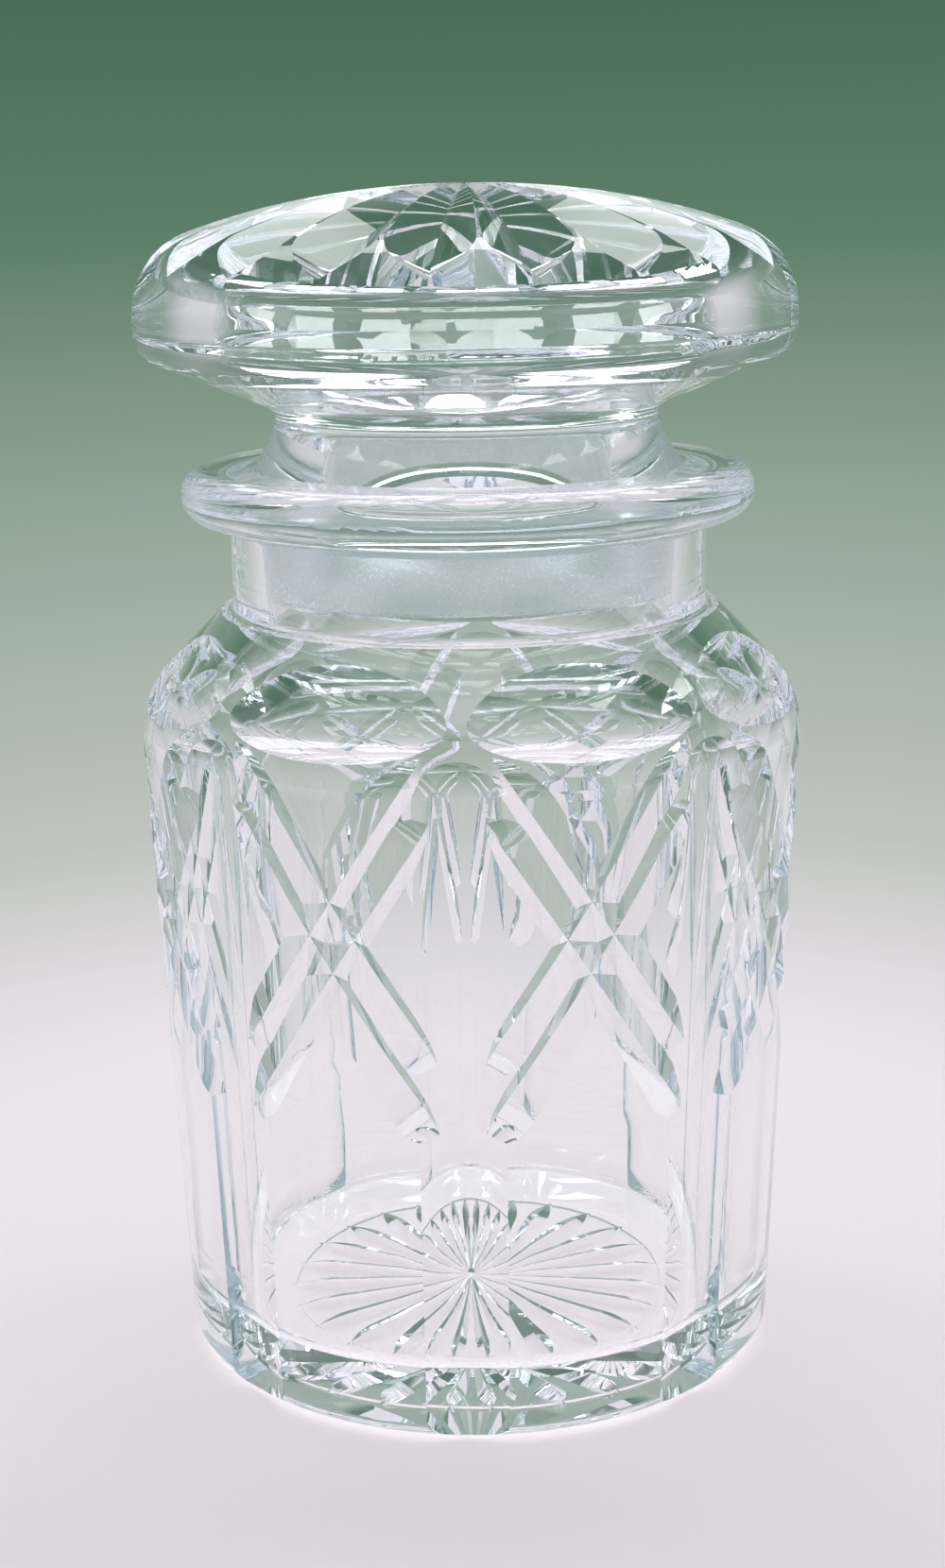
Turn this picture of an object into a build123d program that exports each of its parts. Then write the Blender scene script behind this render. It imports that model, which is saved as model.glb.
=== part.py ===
from build123d import *
import os
from math import asin, atan, cos, degrees, pi, radians, sin, tan

# A lidded jar of clear cut glass, in millimetres and degrees.
# The jar stands on z = 0 with its axis on Z. Azimuths are measured from the front, -Y, towards +X.

# Jar body: outside
BASE_RADIUS = 47.0
SHOULDER_RADIUS = 51.5
SHOULDER_HEIGHT = 104.7
SHOULDER_SLOPE = 45.0
SHOULDER_ROUND = 14.7
FOOT_ROUND = 2.6
CREST_LEDGE = 1.9
NECK_WALL = 3.7
NECK_HEIGHT = 14.0
NECK_FOOT_ROUND = 1.2
NECK_HEAD_ROUND = 1.6
COLLAR_REACH = 7.3
COLLAR_HEIGHT = 8.0
COLLAR_ROUND = 3.9

# Jar body: inside
BASE_THICKNESS = 9.0
WALL = 6.8
SHOULDER_WALL = 6.8
FLOOR_ROUND = 3.0
MOUTH_RADIUS = 32.8
MOUTH_BEVEL = 0.7
NECK_TAPER = 3.0

# Cut decoration of the jar
PANEL_COUNT = 8
FLUTE_DEPTH = 1.3
FLUTE_WHEEL = 22.0
MITRE_ANGLE = 112.0
MITRE_DEPTH = 2.0
CROSS_HEIGHT = 77.3
CROSS_ANGLE = 56.5
CROSS_REACH = 14.8
CROSS_TIP_WHEEL = 12.0
THUMB_WHEEL = 16.0
THUMB_CROWN = 250.0
THUMB_EDGE_ANGLE = 18.0
THUMB_LIP_ANGLE = 21.8
BASE_STAR_COUNT = 24
BASE_STAR_DEPTH = 1.5
BASE_STAR_ANGLE = 104.0
BASE_STAR_CENTRE_DEPTH = 0.15
BASE_STAR_INSET = 23.6
BASE_STAR_WHEEL = 14.0
BASE_STAR_DIMPLE = 2.2
BASE_STAR_DIMPLE_DEPTH = 0.5
BASE_RECESS = 0.4
BASE_RECESS_INSET = 16.5

# Stopper lid: outside
LID_RADIUS = 50.0
LID_CROWN = 130.0
LID_EDGE_HEIGHT = 11.7
LID_ROUND = 13.0
SEAM_STEP = 0.3
LID_UNDER_DEPTH = 11.7
LID_UNDER_SIDE = 2.9
SEAM_LAND = 0.2
WAIST_STEP = 4.6
WAIST_ROUND = 2.5
PLUG_LENGTH = 18.5
PLUG_BEVEL = 0.8
PLUG_CLEARANCE = 0.12
LID_GAP = 8.3

# Stopper lid: inside
PLUG_WALL = 8.8
CHAMBER_WALL = 12.0
CHAMBER_CEILING = 5.5
CHAMBER_DOME = 7.0
CHAMBER_UNDER_WALL = 5.6
CHAMBER_ROUND = 4.5

# Cut decoration of the lid
LID_STAR_COUNT = 20
LID_STAR_ANGLE = 120.0
LID_STAR_FALL = 4.8
LID_STAR_INSET = 8.0
LID_STAR_WHEEL = 16.0
LID_STAR_TURN = -3.6
LID_STAR_CENTRE_DEPTH = 0.3
LID_STAR_DIMPLE = 3.0
LID_STAR_DIMPLE_DEPTH = 0.8

# Room that a cutting wheel has beyond the glass, and the turn in which it rises out of a groove
WHEEL_CLEAR = 6.0
RISE_TURN = 45.0

# Sizes that follow from the ones above
neck_radius = MOUTH_RADIUS + NECK_WALL
crest_radius = neck_radius + CREST_LEDGE
collar_radius = neck_radius + COLLAR_REACH
waist_radius = MOUTH_RADIUS - WAIST_STEP
plug_bore_radius = MOUTH_RADIUS - PLUG_WALL
chamber_radius = LID_RADIUS - CHAMBER_WALL
crest_height = SHOULDER_HEIGHT + (SHOULDER_RADIUS - crest_radius) * tan(radians(SHOULDER_SLOPE))
collar_bottom = crest_height + NECK_HEIGHT
rim_height = collar_bottom + COLLAR_HEIGHT
plug_top = rim_height - MOUTH_BEVEL
plug_bottom = plug_top - PLUG_LENGTH
lid_bottom = rim_height + LID_GAP
seam_height = lid_bottom + LID_UNDER_DEPTH
crown_drop = LID_CROWN - (LID_CROWN ** 2 - LID_RADIUS ** 2) ** 0.5
top_height = seam_height + LID_EDGE_HEIGHT + crown_drop
under_radius = LID_RADIUS - SEAM_STEP
under_angle = atan((LID_UNDER_DEPTH - LID_UNDER_SIDE) / (under_radius - waist_radius))
under_round = (LID_UNDER_SIDE - SEAM_LAND) / tan((pi / 2 - under_angle) / 2)
dome_radius = (chamber_radius ** 2 + CHAMBER_DOME ** 2) / (2 * CHAMBER_DOME)
wall_angle = atan((SHOULDER_RADIUS - BASE_RADIUS) / SHOULDER_HEIGHT)
neck_fall = tan(radians(NECK_TAPER))


def meet(first, first_way, second, second_way):
    """Point where two lines of the half section cross, each given by a point and a direction."""
    across = first_way[0] * second_way[1] - first_way[1] * second_way[0]
    gap_r = second[0] - first[0]
    gap_z = second[1] - first[1]
    along = (gap_r * second_way[1] - gap_z * second_way[0]) / across
    return (first[0] + along * first_way[0], first[1] + along * first_way[1])


def turned(outline, rounds):
    """Body of revolution of a closed half section (r, z), with the corners listed in rounds made round."""
    face = make_face(outline)
    for corner, radius in rounds:
        nearest = min(face.vertices(), key=lambda vertex: (Vector(vertex) - Vector(*corner)).length)
        face = fillet(nearest, radius)
    return revolve(Plane.XZ * face, Axis.Z)


def wall_line(depth):
    """Point and direction of the slanted wall, moved into the glass by a depth."""
    return (BASE_RADIUS - depth / cos(wall_angle), 0), (sin(wall_angle), cos(wall_angle))


def shoulder_line(depth):
    """Point and direction of the shoulder's cone, moved into the glass by a depth."""
    slope = radians(SHOULDER_SLOPE)
    return (crest_radius, crest_height - depth / cos(slope)), (-cos(slope), sin(slope))


def wall_radius(height):
    """Outer radius of the uncut wall."""
    return BASE_RADIUS + height * tan(wall_angle)


def mouth_radius(height):
    """Radius of the tapered bore in the neck."""
    return MOUTH_RADIUS - (rim_height - height) * neck_fall


def jar_blank():
    """Uncut outside of the jar: wall, shoulder, neck and collar."""
    foot = (BASE_RADIUS, 0)
    corner = (SHOULDER_RADIUS, SHOULDER_HEIGHT)
    neck_foot = (neck_radius, crest_height)
    neck_head = (neck_radius, collar_bottom)
    collar_low = (collar_radius, collar_bottom)
    collar_high = (collar_radius, rim_height)
    points = [(0, 0), foot, corner, (crest_radius, crest_height), neck_foot, neck_head]
    points += [collar_low, collar_high, (0, rim_height)]
    rounds = [(foot, FOOT_ROUND), (corner, SHOULDER_ROUND), (neck_foot, NECK_FOOT_ROUND)]
    rounds += [(neck_head, NECK_HEAD_ROUND), (collar_low, COLLAR_ROUND), (collar_high, COLLAR_ROUND)]
    return turned(Polyline(*points, close=True), rounds)


def jar_hollow():
    """Inside of the jar: floor, wall, shoulder, tapered neck and bevelled mouth."""
    floor_way = (1, 0)
    bore_way = (neck_fall, 1)
    floor_edge = meet((0, BASE_THICKNESS), floor_way, *wall_line(WALL))
    inner_corner = meet(*wall_line(WALL), *shoulder_line(SHOULDER_WALL))
    bore_foot = meet(*shoulder_line(SHOULDER_WALL), (MOUTH_RADIUS, rim_height), bore_way)
    bevel_foot = rim_height - MOUTH_BEVEL
    above = rim_height + WHEEL_CLEAR
    points = [(0, BASE_THICKNESS), floor_edge, inner_corner, bore_foot]
    points += [(mouth_radius(bevel_foot), bevel_foot), (MOUTH_RADIUS + MOUTH_BEVEL, rim_height)]
    points += [(MOUTH_RADIUS + MOUTH_BEVEL, above), (0, above)]
    rounds = [(floor_edge, FLOOR_ROUND), (inner_corner, SHOULDER_ROUND - SHOULDER_WALL)]
    return turned(Polyline(*points, close=True), rounds)


def around(piece, count, start):
    """Copies of a piece made at azimuth 0, turned about Z to their places."""
    return [Rot(0, 0, start + step * 360 / count) * piece for step in range(count)]


def on_front(radius, height, side=0.0):
    """Point of the front meridian plane, moved sideways."""
    return Vector(side, -radius, height)


def flute_wheel():
    """Wheel that hollows one upright flute, parallel to the slanted wall."""
    stand_off = FLUTE_WHEEL - FLUTE_DEPTH
    foot = on_front(BASE_RADIUS + stand_off * cos(wall_angle), -stand_off * sin(wall_angle))
    upward = Vector(0, -sin(wall_angle), cos(wall_angle))
    length = SHOULDER_HEIGHT + 2 * WHEEL_CLEAR
    start = Plane(foot - upward * WHEEL_CLEAR, x_dir=(1, 0, 0), z_dir=upward)
    return extrude(start * Circle(FLUTE_WHEEL), length)


def thumb_wheel():
    """Wheel that hollows one thumb cut on the shoulder: its axle is level and its rim is crowned."""
    centre = meet(*wall_line(SHOULDER_ROUND), *shoulder_line(SHOULDER_ROUND))
    edge = radians(THUMB_EDGE_ANGLE)
    lip = radians(THUMB_LIP_ANGLE)
    axle_r = centre[0] + SHOULDER_ROUND * cos(edge) + THUMB_WHEEL * sin(lip)
    axle_z = centre[1] + SHOULDER_ROUND * sin(edge) + THUMB_WHEEL * cos(lip)
    half_width = SHOULDER_RADIUS / 2
    side = THUMB_WHEEL - THUMB_CROWN + (THUMB_CROWN ** 2 - half_width ** 2) ** 0.5
    rim = ThreePointArc((half_width, side), (0, THUMB_WHEEL), (-half_width, side))
    hub = Polyline((-half_width, side), (-half_width, 0), (half_width, 0), (half_width, side))
    axle = on_front(axle_r, axle_z)
    section = Plane(axle, x_dir=(1, 0, 0), z_dir=(0, 1, 0)) * make_face([rim, hub])
    return revolve(section, Axis(axle, (1, 0, 0)))


def mitre_section(valley, outward, sideways, angle):
    """Triangle of a mitre wheel's edge, with its point in the valley of the groove."""
    height = MITRE_DEPTH + WHEEL_CLEAR
    reach = height * tan(radians(angle / 2))
    outer = valley + outward * height
    return make_face(Polyline(valley, outer + sideways * reach, outer - sideways * reach, close=True))


def cross_groove(lean, shift):
    """One mitre groove of a panel's X: it follows the wall and rises out of the glass at both ends."""
    height = CROSS_HEIGHT + shift
    climb = radians(CROSS_ANGLE)
    outward = Vector(0, -cos(wall_angle), -sin(wall_angle))
    along = Vector(1, 0, 0) * cos(climb) + Vector(0, -sin(wall_angle), cos(wall_angle)) * (lean * sin(climb))
    sideways = outward.cross(along)
    bend = wall_radius(height) / cos(climb) ** 2
    centre = on_front(wall_radius(height), height) - outward * bend
    half_turn = wall_radius(height) * radians(CROSS_REACH) / cos(climb) / bend
    sections = []
    tips = []
    for end in (-1, 1):
        upright = outward * cos(half_turn) + along * (end * sin(half_turn))
        valley = centre + upright * (bend - MITRE_DEPTH)
        section = mitre_section(valley, upright, sideways, MITRE_ANGLE)
        tip_axis = Axis(valley + upright * CROSS_TIP_WHEEL, sideways * -end)
        sections.append(section)
        tips.append(revolve(section, tip_axis, RISE_TURN))
    middle = revolve(sections[0], Axis(centre, sideways), 2 * degrees(half_turn))
    return middle + tips


def cross_grooves():
    """The four mitre grooves of one panel's X: two side by side in each arm."""
    half_pitch = MITRE_DEPTH * tan(radians(MITRE_ANGLE / 2)) / cos(radians(CROSS_ANGLE))
    return [cross_groove(lean, shift) for lean in (-1, 1) for shift in (-half_pitch, half_pitch)]


def base_ray():
    """One ray of the star under the base: it deepens outwards and ends in the wheel's round."""
    start = on_front(BASE_STAR_DIMPLE / 2, BASE_RECESS + BASE_STAR_CENTRE_DEPTH)
    end = on_front(BASE_RADIUS - BASE_STAR_INSET, BASE_RECESS + BASE_STAR_DEPTH)
    run = end - start
    downward = Vector(1, 0, 0).cross(run.normalized())
    section = mitre_section(end, downward, Vector(1, 0, 0), BASE_STAR_ANGLE)
    line = extrude(section, run.length, dir=run * -1)
    tip = revolve(section, Axis(end + downward * BASE_STAR_WHEEL, (1, 0, 0)), RISE_TURN)
    return line + tip


def base_star():
    """The star under the base, in a shallow recess, with the dimple where its rays run together."""
    upward = (Align.CENTER, Align.CENTER, Align.MIN)
    recess = Cylinder(BASE_RADIUS - BASE_RECESS_INSET, BASE_RECESS, align=upward)
    dimple = Cone(BASE_STAR_DIMPLE, 0, BASE_STAR_DIMPLE_DEPTH, align=upward)
    rays = around(base_ray(), BASE_STAR_COUNT, 180 / BASE_STAR_COUNT)
    return [recess, Pos(0, 0, BASE_RECESS) * dimple] + rays


def cut_in_turn(glass, cuts):
    """The glass with each cut made after the one before it, as the wheels make them."""
    for cut in cuts:
        glass = glass - cut
    return glass


def jar_body():
    """The jar: the turned glass with its star, flutes, thumb cuts and crosses, hollowed last."""
    pitch = 360 / PANEL_COUNT
    thumbs = around(thumb_wheel(), PANEL_COUNT, pitch / 2)
    cuts = base_star()
    cuts += [around(flute_wheel(), PANEL_COUNT, 0), thumbs[0::2], thumbs[1::2]]
    cuts += [around(groove, PANEL_COUNT, pitch / 2) for groove in cross_grooves()]
    return cut_in_turn(jar_blank(), cuts) - jar_hollow()


def lid_blank():
    """Uncut outside of the lid: crown, rolled rim, underside, flared waist and ground plug."""
    crown_edge = (LID_RADIUS, top_height - crown_drop)
    under_edge = (under_radius, seam_height - LID_UNDER_SIDE)
    waist_head = (waist_radius, lid_bottom)
    plug_head = mouth_radius(plug_top) - PLUG_CLEARANCE
    plug_foot = mouth_radius(plug_bottom) - PLUG_CLEARANCE
    corners = [(0, top_height), (0, plug_bottom), (plug_foot - PLUG_BEVEL, plug_bottom)]
    corners += [(plug_foot, plug_bottom + PLUG_BEVEL), (plug_head, plug_top), waist_head, under_edge]
    corners += [(under_radius, seam_height), (LID_RADIUS, seam_height), crown_edge]
    crown = RadiusArc(crown_edge, (0, top_height), -LID_CROWN)
    rounds = [(crown_edge, LID_ROUND), (under_edge, under_round), (waist_head, WAIST_ROUND)]
    return turned([Polyline(*corners), crown], rounds)


def lid_hollow():
    """Inside of the lid: the plug's bore and the wider chamber, domed under the crown."""
    floor_start = (waist_radius, lid_bottom + CHAMBER_UNDER_WALL / cos(under_angle))
    floor_way = (cos(under_angle), sin(under_angle))
    ceiling_edge = (chamber_radius, seam_height + CHAMBER_CEILING)
    dome_top = (0, ceiling_edge[1] + CHAMBER_DOME)
    below = plug_bottom - WHEEL_CLEAR
    throat = meet(floor_start, floor_way, (plug_bore_radius, 0), (0, 1))
    floor_edge = meet(floor_start, floor_way, (chamber_radius, 0), (0, 1))
    corners = [dome_top, (0, below), (plug_bore_radius, below), throat, floor_edge, ceiling_edge]
    dome = RadiusArc(ceiling_edge, dome_top, -dome_radius)
    rounds = [(throat, CHAMBER_ROUND), (floor_edge, CHAMBER_ROUND / 2), (ceiling_edge, CHAMBER_ROUND / 2)]
    return turned([Polyline(*corners), dome], rounds)


def lid_ray():
    """One ray of the lid's star: a mitre groove that follows the crown and rises out on the rim."""
    fall = radians(LID_STAR_FALL)
    axle = on_front(-LID_CROWN * sin(fall), top_height - LID_STAR_CENTRE_DEPTH - LID_CROWN * cos(fall))
    first = asin(LID_STAR_DIMPLE / 2 / LID_CROWN + sin(fall))
    last = asin((LID_RADIUS - LID_STAR_INSET) / LID_CROWN + sin(fall))
    outward = Vector(0, -sin(last), cos(last))
    end = axle + outward * LID_CROWN
    section = mitre_section(end, outward, Vector(1, 0, 0), LID_STAR_ANGLE)
    line = revolve(section, Axis(axle, (-1, 0, 0)), degrees(last - first))
    tip = revolve(section, Axis(end + outward * LID_STAR_WHEEL, (-1, 0, 0)), RISE_TURN)
    return line + tip


def lid_star():
    """The star on the lid, with the dimple where its rays run together."""
    dimple = Cone(0, LID_STAR_DIMPLE, LID_STAR_DIMPLE_DEPTH, align=(Align.CENTER, Align.CENTER, Align.MAX))
    rays = around(lid_ray(), LID_STAR_COUNT, LID_STAR_TURN)
    return [Pos(0, 0, top_height) * dimple] + rays


def stopper_lid():
    """The lid: the turned glass with its star, hollowed last."""
    return cut_in_turn(lid_blank(), lid_star()) - lid_hollow()


os.makedirs("parts", exist_ok=True)
export_step(jar_body(), "parts/jar_body.step")
export_step(stopper_lid(), "parts/stopper_lid.step")
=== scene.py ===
from math import cos, radians, sin

import bmesh
import bpy
from mathutils import Matrix, Vector


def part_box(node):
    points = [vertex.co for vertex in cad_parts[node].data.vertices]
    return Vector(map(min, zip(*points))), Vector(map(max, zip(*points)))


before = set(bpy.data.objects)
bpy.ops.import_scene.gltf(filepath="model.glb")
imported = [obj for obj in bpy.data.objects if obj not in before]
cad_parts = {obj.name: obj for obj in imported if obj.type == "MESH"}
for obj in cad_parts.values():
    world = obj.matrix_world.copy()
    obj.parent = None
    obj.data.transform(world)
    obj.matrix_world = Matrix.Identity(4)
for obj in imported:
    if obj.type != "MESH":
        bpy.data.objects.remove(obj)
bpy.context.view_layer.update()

# Lidded cut-glass jar on a pale paper sweep.
# Lengths are in metres and angles in degrees, in the frame's own axes.

# Camera, from the photograph's viewing angle
CAMERA_DISTANCE = 0.3779
CAMERA_HEIGHT = 0.18265
CAMERA_AZIMUTH = 2.53
CAMERA_PITCH = 13.95
CAMERA_ROLL = 0.905
CAMERA_SENSOR = 24.0
CAMERA_LENS = 37.68
CAMERA_CLIP = 0.01

# Polished glass
GLASS_IOR = 1.53
GLASS_TINT = (0.985, 0.990, 0.995, 1.0)
ABSORB_COLOUR = (0.80, 0.91, 1.0, 1.0)
ABSORB_DENSITY = 5.0
SHADOW_COLOUR = (0.95, 0.935, 0.94, 1.0)
NOISE_DETAIL = 2.0
RIPPLE_SCALE = 70.0
RIPPLE_SPAN = (0.35, 0.75)
RIPPLE_HEIGHT = 0.00002
POLISH_ROUGHNESS = (0.0, 0.012)
LIGHT_BOUNCES = 48

# Ground glass on the plug's side: from just above its lower end to a depth below the jar's rim
GROUND_FOOT = 0.0008
GROUND_DEPTH = 0.0065
GROUND_RADII = (0.0300, 0.0335)
GROUND_EDGE = 0.0006
# Painted reflection: the ground glass gets a pale blue that stands in for the bluish light it scatters
# from round about
GROUND_PAINTED_BLUE = (0.86, 0.92, 0.98, 1.0)
GROUND_ROUGHNESS = (0.26, 0.36)
GRIT_SCALE = 2600.0
GRIT_SPAN = (0.2, 0.8)
GRIT_HEIGHT = 0.00003

# Paper floor
FLOOR_RADIUS = 0.20
FLOOR_SEGMENTS = 96
FLOOR_DROP = 0.0003
FLOOR_FADE = (0.12, 0.20)
FLOOR_COLOUR = (0.86, 0.80, 0.83, 1.0)

# Glowing sheet that stands behind the floor, graded with painted shade that darkens upward where the light
# falls off: its shades are heights and the linear colours there
SHEET_RADIUS = 0.20
SHEET_STEPS = 48
SHEET_HEIGHT = 0.60
SHEET_FADE = (0.24, 0.60)
SHEET_HALF_ANGLE = (34.0, 66.0)
SHEET_PAINTED_SHADES = [
    (0.00, (0.74, 0.70, 0.73)),
    (0.03, (0.52, 0.56, 0.52)),
    (0.10, (0.32, 0.40, 0.33)),
    (0.17, (0.11, 0.21, 0.14)),
    (0.24, (0.05, 0.13, 0.08)),
]

# Room that the glass shows: elevations of the line of sight and the linear colours there
ROOM = [
    (-40, (0.78, 0.73, 0.76)),
    (-10, (0.72, 0.71, 0.74)),
    (5, (0.40, 0.45, 0.43)),
    (20, (0.10, 0.17, 0.13)),
    (55, (0.14, 0.20, 0.18)),
    (75, (0.75, 0.80, 0.90)),
    (90, (0.95, 0.97, 1.00)),
]

# Plain fill on what is lit
FILL_LIGHT = (0.43, 0.43, 0.44, 1.0)

# Soft overhead lamp, a wide strip a little behind the jar
LAMP_PLACE = (0.0, 0.25, 0.78)
LAMP_TARGET = (0.0, 0.0, 0.08)
LAMP_SIZE = (0.9, 0.3)
LAMP_POWER = 4.4


def new_material(name):
    """Empty node material with its output node."""
    material = bpy.data.materials.new(name)
    material.use_nodes = True
    nodes = material.node_tree.nodes
    nodes.clear()
    return material, nodes, material.node_tree.links, nodes.new("ShaderNodeOutputMaterial")


def math_node(nodes, links, operation, *values):
    """Math node on values that are each a socket or a number."""
    node = nodes.new("ShaderNodeMath")
    node.operation = operation
    for socket, value in zip(node.inputs, values):
        if isinstance(value, (int, float)):
            socket.default_value = value
        else:
            links.new(value, socket)
    return node.outputs[0]


def vector_length(nodes, links, vector):
    """Length of a vector."""
    node = nodes.new("ShaderNodeVectorMath")
    node.operation = "LENGTH"
    links.new(vector, node.inputs[0])
    return node.outputs["Value"]


def mix_shaders(nodes, links, share, first, second):
    """First shader where the share is 0, second where it is 1."""
    node = nodes.new("ShaderNodeMixShader")
    for socket, value in zip(node.inputs, (share, first.outputs[0], second.outputs[0])):
        links.new(value, socket)
    return node.outputs[0]


def ramp(nodes, links, value, low, high, to_low=0.0, to_high=1.0):
    """Smooth step of a value from low to high."""
    node = nodes.new("ShaderNodeMapRange")
    node.interpolation_type = "SMOOTHSTEP"
    limits = {"From Min": low, "From Max": high, "To Min": to_low, "To Max": to_high}
    for name, number in limits.items():
        node.inputs[name].default_value = number
    links.new(value, node.inputs["Value"])
    return node.outputs["Result"]


def band(nodes, links, value, low, high, edge):
    """1 where a value lies between low and high, with soft edges."""
    rise = ramp(nodes, links, value, low - edge, low + edge)
    fall = ramp(nodes, links, value, high - edge, high + edge, 1.0, 0.0)
    return math_node(nodes, links, "MULTIPLY", rise, fall)


def noise(nodes, links, place, scale):
    """Noise texture at a scale in repeats per metre."""
    node = nodes.new("ShaderNodeTexNoise")
    node.inputs["Scale"].default_value = scale
    node.inputs["Detail"].default_value = NOISE_DETAIL
    links.new(place, node.inputs["Vector"])
    return node.outputs["Fac"]


def bump(nodes, links, height, distance, normal=None):
    """Bump node of a height in metres."""
    node = nodes.new("ShaderNodeBump")
    node.inputs["Strength"].default_value = 1.0
    node.inputs["Distance"].default_value = distance
    links.new(height, node.inputs["Height"])
    if normal is not None:
        links.new(normal, node.inputs["Normal"])
    return node.outputs["Normal"]


def ground_mask(nodes, links, place, heights):
    """1 on the glass that is ground: between two heights, within the ground radii."""
    parts = nodes.new("ShaderNodeSeparateXYZ")
    links.new(place, parts.inputs[0])
    flat = nodes.new("ShaderNodeCombineXYZ")
    links.new(parts.outputs["X"], flat.inputs["X"])
    links.new(parts.outputs["Y"], flat.inputs["Y"])
    radius = vector_length(nodes, links, flat.outputs[0])
    in_height = band(nodes, links, parts.outputs["Z"], *heights, GROUND_EDGE)
    in_radius = band(nodes, links, radius, *GROUND_RADII, GROUND_EDGE)
    return math_node(nodes, links, "MULTIPLY", in_height, in_radius)


def tint_with_painted_blue(nodes, links, ground):
    """Glass tint, and where the glass is ground a painted pale blue that stands in for the bluish room the
    frost scatters.
    """
    node = nodes.new("ShaderNodeMix")
    node.data_type = "RGBA"
    first, second = [socket for socket in node.inputs if socket.type == "RGBA"]
    first.default_value = GLASS_TINT
    second.default_value = GROUND_PAINTED_BLUE
    links.new(ground, node.inputs["Factor"])
    return [socket for socket in node.outputs if socket.type == "RGBA"][0]


def ground_roughness(nodes, links, ground, polish, grit):
    """Roughness of the polish, and of the grit where the glass is ground."""
    node = nodes.new("ShaderNodeMix")
    links.new(ground, node.inputs["Factor"])
    links.new(polish, node.inputs["A"])
    links.new(ramp(nodes, links, grit, *GRIT_SPAN, *GROUND_ROUGHNESS), node.inputs["B"])
    return node.outputs["Result"]


def glass(name, ground_heights=None):
    """Polished crystal, ground matt between two heights if they are given. Its shadow is faint."""
    material, nodes, links, output = new_material(name)
    place = nodes.new("ShaderNodeTexCoord").outputs["Object"]
    shader = nodes.new("ShaderNodeBsdfPrincipled")
    shader.inputs["Transmission Weight"].default_value = 1.0
    shader.inputs["IOR"].default_value = GLASS_IOR
    ripple = noise(nodes, links, place, RIPPLE_SCALE)
    roughness = ramp(nodes, links, ripple, *RIPPLE_SPAN, *POLISH_ROUGHNESS)
    normal = bump(nodes, links, ripple, RIPPLE_HEIGHT)
    if ground_heights is None:
        shader.inputs["Base Color"].default_value = GLASS_TINT
    else:
        ground = ground_mask(nodes, links, place, ground_heights)
        grit = noise(nodes, links, place, GRIT_SCALE)
        ground_grit = math_node(nodes, links, "MULTIPLY", grit, ground)
        links.new(tint_with_painted_blue(nodes, links, ground), shader.inputs["Base Color"])
        roughness = ground_roughness(nodes, links, ground, roughness, grit)
        normal = bump(nodes, links, ground_grit, GRIT_HEIGHT, normal)
    links.new(roughness, shader.inputs["Roughness"])
    links.new(normal, shader.inputs["Normal"])

    absorb = nodes.new("ShaderNodeVolumeAbsorption")
    absorb.inputs["Color"].default_value = ABSORB_COLOUR
    absorb.inputs["Density"].default_value = ABSORB_DENSITY
    clear = nodes.new("ShaderNodeBsdfTransparent")
    clear.inputs["Color"].default_value = SHADOW_COLOUR
    in_shadow = nodes.new("ShaderNodeLightPath").outputs["Is Shadow Ray"]
    links.new(mix_shaders(nodes, links, in_shadow, shader, clear), output.inputs["Surface"])
    links.new(absorb.outputs[0], output.inputs["Volume"])
    return material


def dress():
    """Glass on both nodes: the plug's side is ground, the rest is polished."""
    plug_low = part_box("stopper_lid")[0][2]
    rim_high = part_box("jar_body")[1][2]
    looks = {
        "jar_body": glass("jar_glass"),
        "stopper_lid": glass("lid_glass", (plug_low + GROUND_FOOT, rim_high - GROUND_DEPTH)),
    }
    for name, material in looks.items():
        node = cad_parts[name]
        for slot in node.material_slots:
            slot.material = material


def paper_material():
    """Pale paper that fades into the backdrop away from the object."""
    material, nodes, links, output = new_material("paper")
    place = nodes.new("ShaderNodeTexCoord").outputs["Object"]
    fade = ramp(nodes, links, vector_length(nodes, links, place), *FLOOR_FADE)
    paper = nodes.new("ShaderNodeBsdfDiffuse")
    paper.inputs["Color"].default_value = FLOOR_COLOUR
    clear = nodes.new("ShaderNodeBsdfTransparent")
    links.new(mix_shaders(nodes, links, fade, paper, clear), output.inputs["Surface"])
    return material


def floor():
    """Round sheet of paper under the jar, a hair below its base so that the two don't coincide."""
    mesh = bpy.data.meshes.new("paper")
    disc = bmesh.new()
    bmesh.ops.create_circle(disc, cap_ends=True, segments=FLOOR_SEGMENTS, radius=FLOOR_RADIUS)
    disc.to_mesh(mesh)
    disc.free()
    mesh.materials.append(paper_material())
    paper = bpy.data.objects.new("paper", mesh)
    paper.location.z = -FLOOR_DROP
    bpy.context.scene.collection.objects.link(paper)


def shades(nodes, links, value, stops):
    """Colour by a value from 0 to 1."""
    node = nodes.new("ShaderNodeValToRGB")
    elements = node.color_ramp.elements
    while len(elements) < len(stops):
        elements.new(1.0)
    for element, (position, colour) in zip(elements, stops):
        element.position = position
        element.color = (*colour, 1.0)
    links.new(value, node.inputs["Fac"])
    return node.outputs["Color"]


def seen_rays(nodes, links):
    """1 for the rays that show a background: straight, mirrored or through glass."""
    rays = nodes.new("ShaderNodeLightPath").outputs
    seen = math_node(nodes, links, "MAXIMUM", rays["Is Camera Ray"], rays["Is Glossy Ray"])
    return math_node(nodes, links, "MAXIMUM", seen, rays["Is Transmission Ray"])


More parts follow.
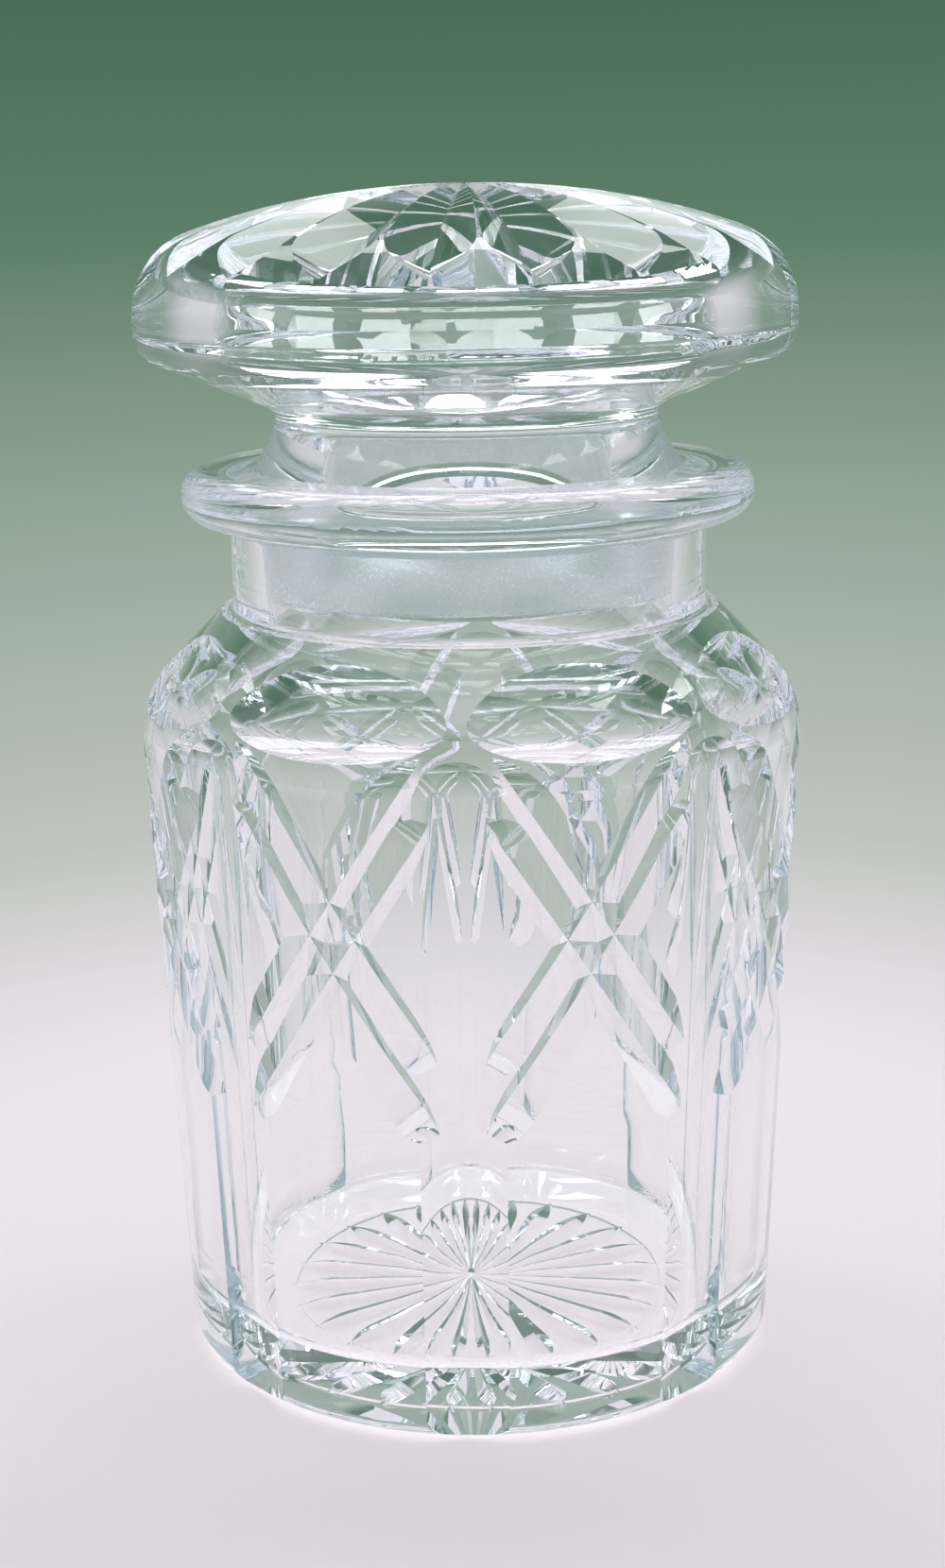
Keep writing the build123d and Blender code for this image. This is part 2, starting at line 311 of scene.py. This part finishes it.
def sheet_material():
    """Glowing paper with painted shade graded by height, pale low down and dark green up high where the
    light falls off. It shows from its front only and throws no light. Its sides and top fade.
    """
    material, nodes, links, output = new_material("sheet")
    parts = nodes.new("ShaderNodeSeparateXYZ")
    links.new(nodes.new("ShaderNodeTexCoord").outputs["Object"], parts.inputs[0])
    height = parts.outputs["Z"]
    turn = math_node(nodes, links, "ARCTAN2", parts.outputs["X"], parts.outputs["Y"])
    turn = math_node(nodes, links, "ABSOLUTE", turn)
    shown = ramp(nodes, links, turn, *[radians(angle) for angle in SHEET_HALF_ANGLE], 1.0, 0.0)
    low = ramp(nodes, links, height, *SHEET_FADE, 1.0, 0.0)
    behind = nodes.new("ShaderNodeNewGeometry").outputs["Backfacing"]
    in_front = math_node(nodes, links, "SUBTRACT", 1.0, behind)
    for share in (low, seen_rays(nodes, links), in_front):
        shown = math_node(nodes, links, "MULTIPLY", shown, share)
    stops = [(level / SHEET_HEIGHT, colour) for level, colour in SHEET_PAINTED_SHADES]
    # Painted shade: the sheet glows in its graded colours instead of being lit
    painted_glow = nodes.new("ShaderNodeEmission")
    height_share = math_node(nodes, links, "DIVIDE", height, SHEET_HEIGHT)
    links.new(shades(nodes, links, height_share, stops), painted_glow.inputs["Color"])
    clear = nodes.new("ShaderNodeBsdfTransparent")
    links.new(mix_shaders(nodes, links, shown, clear, painted_glow), output.inputs["Surface"])
    return material


def sheet():
    """Sheet of paper that stands round the back of the floor."""
    mesh = bpy.data.meshes.new("sheet")
    half = radians(SHEET_HALF_ANGLE[1])
    turns = [half * (2 * step / SHEET_STEPS - 1) for step in range(SHEET_STEPS + 1)]
    arc = [(SHEET_RADIUS * sin(turn), SHEET_RADIUS * cos(turn)) for turn in turns]
    points = [(x, y, height) for height in (-FLOOR_DROP, SHEET_HEIGHT) for x, y in arc]
    upper = len(arc)
    faces = [(step + 1, upper + step + 1, upper + step, step) for step in range(SHEET_STEPS)]
    mesh.from_pydata(points, [], faces)
    mesh.materials.append(sheet_material())
    paper = bpy.data.objects.new("sheet", mesh)
    bpy.context.scene.collection.objects.link(paper)


def surroundings():
    """World: a room that is pale low down and overhead and darker between, and a plain fill."""
    world = bpy.data.worlds.new("surroundings")
    bpy.context.scene.world = world
    world.use_nodes = True
    nodes = world.node_tree.nodes
    links = world.node_tree.links
    nodes.clear()
    output = nodes.new("ShaderNodeOutputWorld")
    direction = nodes.new("ShaderNodeSeparateXYZ")
    links.new(nodes.new("ShaderNodeTexCoord").outputs["Generated"], direction.inputs[0])
    height = math_node(nodes, links, "MULTIPLY_ADD", direction.outputs["Z"], 0.5, 0.5)
    stops = [((sin(radians(elevation)) + 1) / 2, colour) for elevation, colour in ROOM]
    shown = nodes.new("ShaderNodeBackground")
    links.new(shades(nodes, links, height, stops), shown.inputs["Color"])
    fill = nodes.new("ShaderNodeBackground")
    fill.inputs["Color"].default_value = FILL_LIGHT
    seen = seen_rays(nodes, links)
    links.new(mix_shaders(nodes, links, seen, fill, shown), output.inputs["Surface"])


def lamp():
    """Oblong soft lamp aimed at the jar."""
    light = bpy.data.lights.new("overhead", "AREA")
    light.shape = "RECTANGLE"
    light.size, light.size_y = LAMP_SIZE
    light.energy = LAMP_POWER
    holder = bpy.data.objects.new("overhead", light)
    holder.location = LAMP_PLACE
    aim = Vector(LAMP_TARGET) - Vector(LAMP_PLACE)
    holder.rotation_euler = aim.to_track_quat("-Z", "Y").to_euler()
    bpy.context.scene.collection.objects.link(holder)


def camera():
    """Camera of the photograph: level sight line pitched down, with the picture's slight roll."""
    azimuth = radians(CAMERA_AZIMUTH)
    pitch = radians(CAMERA_PITCH)
    roll = radians(CAMERA_ROLL)
    ahead = Vector((-sin(azimuth) * cos(pitch), cos(azimuth) * cos(pitch), -sin(pitch)))
    level = Vector((cos(azimuth), sin(azimuth), 0.0))
    upright = level.cross(ahead)
    right = level * cos(roll) - upright * sin(roll)
    above = upright * cos(roll) + level * sin(roll)
    turn = Matrix((right, above, -ahead)).transposed().to_4x4()
    place = Vector((CAMERA_DISTANCE * sin(azimuth), -CAMERA_DISTANCE * cos(azimuth), CAMERA_HEIGHT))
    data = bpy.data.cameras.new("camera")
    data.sensor_fit = "VERTICAL"
    data.sensor_height = CAMERA_SENSOR
    data.lens = CAMERA_LENS
    data.clip_start = CAMERA_CLIP
    holder = bpy.data.objects.new("camera", data)
    holder.matrix_world = Matrix.Translation(place) @ turn
    bpy.context.scene.collection.objects.link(holder)
    bpy.context.scene.camera = holder


def light_paths():
    """Enough bounces for light to leave the thick cut glass again, so that no facet ends black."""
    paths = bpy.context.scene.cycles
    paths.max_bounces = LIGHT_BOUNCES
    paths.glossy_bounces = LIGHT_BOUNCES
    paths.transmission_bounces = LIGHT_BOUNCES


dress()
floor()
sheet()
surroundings()
lamp()
camera()
light_paths()
bpy.context.scene.view_settings.view_transform = "Standard"
